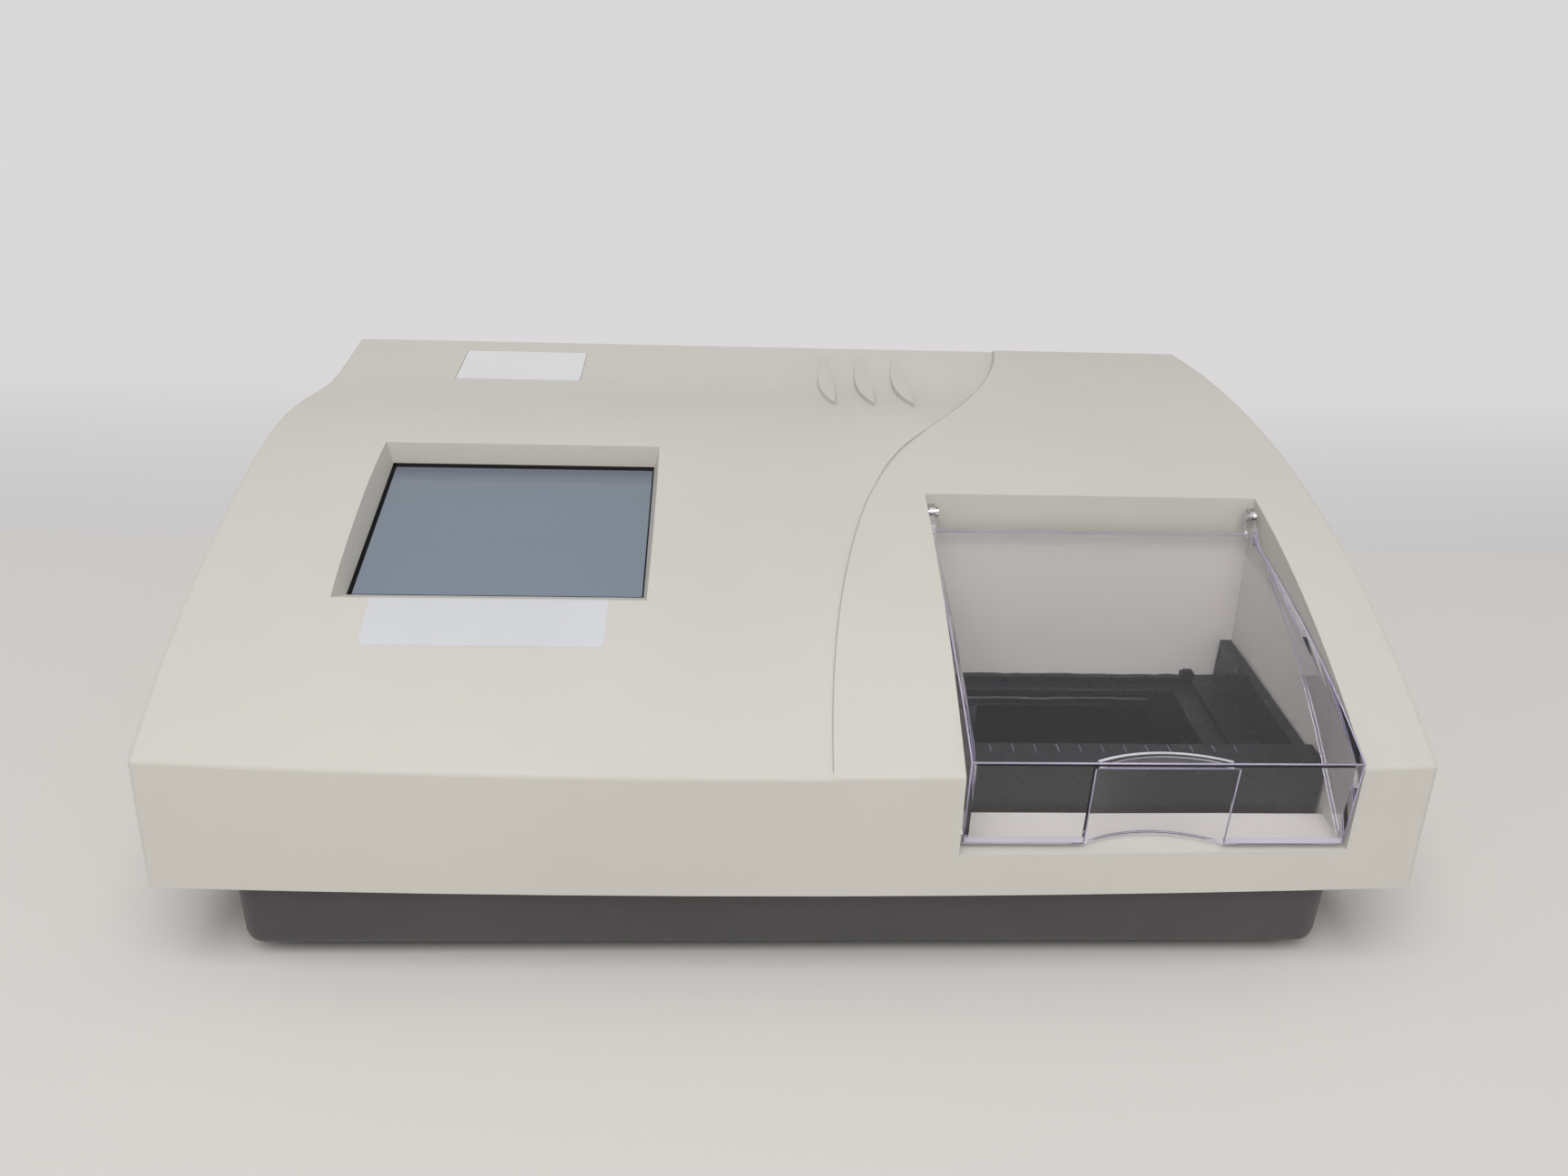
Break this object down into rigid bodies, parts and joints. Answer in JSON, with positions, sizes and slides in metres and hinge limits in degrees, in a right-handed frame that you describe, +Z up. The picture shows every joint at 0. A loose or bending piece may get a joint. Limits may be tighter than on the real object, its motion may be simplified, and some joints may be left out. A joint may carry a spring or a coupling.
{
  "type": "microplate reader",
  "caption": "Bench-top absorbance microplate reader with a domed housing, a touch screen, a clear hinged lid over the plate bay and a plate carrier that slides under the optics.",
  "frame": {"origin": "on the surface that the feet rest on, under the centre of the bounding box", "axes": "+X to the right seen from the front, +Y to the back, +Z up"},
  "size_m": [0.482, 0.359, 0.1537],
  "materials": {
    "cover_plastic": "fine moulded texture, warm light grey",
    "dark_plastic": "satin dark grey",
    "black_plastic": "satin black",
    "clear_acrylic": "clear moulded acrylic with a faint violet edge",
    "screen_glass": "blue-grey screen under glass",
    "white_plate": "plain white",
    "rubber": "black rubber",
    "belt_rubber": "black belt rubber",
    "steel": "plain steel",
    "zinc_sheet": "zinc-plated sheet",
    "chrome": "polished",
    "aluminium": "machined",
    "brass": "turned",
    "black_metal": "black finish",
    "panel_paint": "fine texture paint",
    "circuit_board": "green solder mask",
    "transformer_wrap": "yellow wrap",
    "lens_glass": "clear glass",
    "filter_glass": "coloured interference glass"
  },
  "bodies": {
    "housing": {"base_tray": "dark_plastic", "board_standoffs": "brass", "brightness_control": "zinc_sheet", "carrier_motor": "black_metal", "chassis_plate": "zinc_sheet", "chassis_screws": "steel", "condenser_lens": "lens_glass", "cover_screws": "steel", "detector_board": "circuit_board", "detector_stand": "aluminium", "drive_belt": "belt_rubber", "fan_frame": "black_plastic", "fibre_bundle": "black_plastic", "fibre_head": "black_metal", "fibre_inlet": "aluminium", "focus_lenses": "lens_glass", "fuse_holder": "black_plastic", "guide_rods": "chrome", "hinge_pins": "chrome", "idler_bracket": "zinc_sheet", "inlet_pins": "chrome", "label_plate": "white_plate", "lamp": "lens_glass", "lamp_house": "black_metal", "lamp_socket": "white_plate", "lens_tube": "black_metal", "main_board": "circuit_board", "motor_bracket": "zinc_sheet", "optics_bridge": "aluminium", "photodiodes": "lens_glass", "power_inlet": "black_plastic", "printer_port": "steel", "psu_board": "circuit_board", "psu_case": "zinc_sheet", "rear_panel": "panel_paint", "rod_brackets": "aluminium", "rubber_feet": "rubber", "screen_board": "circuit_board", "screen_bracket": "zinc_sheet", "screen_panel": "black_plastic", "serial_port": "steel", "switch_body": "black_plastic", "top_cover": "cover_plastic", "touch_glass": "screen_glass", "transformer": "transformer_wrap", "wheel_motor": "black_metal", "wheel_stand": "zinc_sheet"},
    "lid": {"lid": "clear_acrylic"},
    "carrier": {"carrier": "black_plastic", "slide_bushes": "brass", "belt_clamp": "aluminium"},
    "motor_pulley": {"motor_pulley": "aluminium", "motor_shaft": "steel"},
    "idler_pulley": {"idler_pulley": "aluminium"},
    "filter_wheel": {"filter_wheel": "black_metal", "light_filters": "filter_glass", "wheel_shaft": "steel"},
    "fan_rotor": {"fan_rotor": "black_plastic"},
    "power_rocker": {"power_rocker": "black_plastic"},
    "brightness_knob": {"brightness_knob": "black_plastic"}
  },
  "joints": [
    {"name": "lid_hinge", "type": "hinge", "parent": "housing", "child": "lid", "pos_m": [0.1359, -0.038, 0.137], "axis": [-1, 0, 0], "range_deg": [0, 105]},
    {"name": "carrier_slide", "type": "slide", "parent": "housing", "child": "carrier", "axis": [-1, 0, 0], "range_m": [0, 0.142]},
    {"name": "motor_turn", "type": "hinge", "parent": "housing", "child": "motor_pulley", "pos_m": [-0.112, -0.0285, 0.044], "axis": [0, -1, 0], "range_deg": [0, 1020]},
    {"name": "idler_turn", "type": "hinge", "parent": "housing", "child": "idler_pulley", "pos_m": [0.084, -0.0285, 0.044], "axis": [0, -1, 0], "range_deg": [0, 1020]},
    {"name": "filter_wheel_turn", "type": "hinge", "parent": "housing", "child": "filter_wheel", "pos_m": [0.1415, 0.0815, 0.07], "axis": [1, 0, 0], "continuous": true},
    {"name": "fan_spin", "type": "hinge", "parent": "housing", "child": "fan_rotor", "pos_m": [0.02, 0.1565, 0.083], "axis": [0, 1, 0], "continuous": true},
    {"name": "rocker_tilt", "type": "hinge", "parent": "housing", "child": "power_rocker", "pos_m": [0.104, 0.1665, 0.083], "axis": [1, 0, 0], "range_deg": [-8, 8]},
    {"name": "brightness_turn", "type": "hinge", "parent": "housing", "child": "brightness_knob", "pos_m": [-0.166, 0.168, 0.083], "axis": [0, 1, 0], "range_deg": [-135, 135]}
  ],
  "couplings": [
    {"joint": "motor_turn", "follows": "carrier_slide", "rad_per_m": 125},
    {"joint": "idler_turn", "follows": "carrier_slide", "rad_per_m": 125}
  ]
}
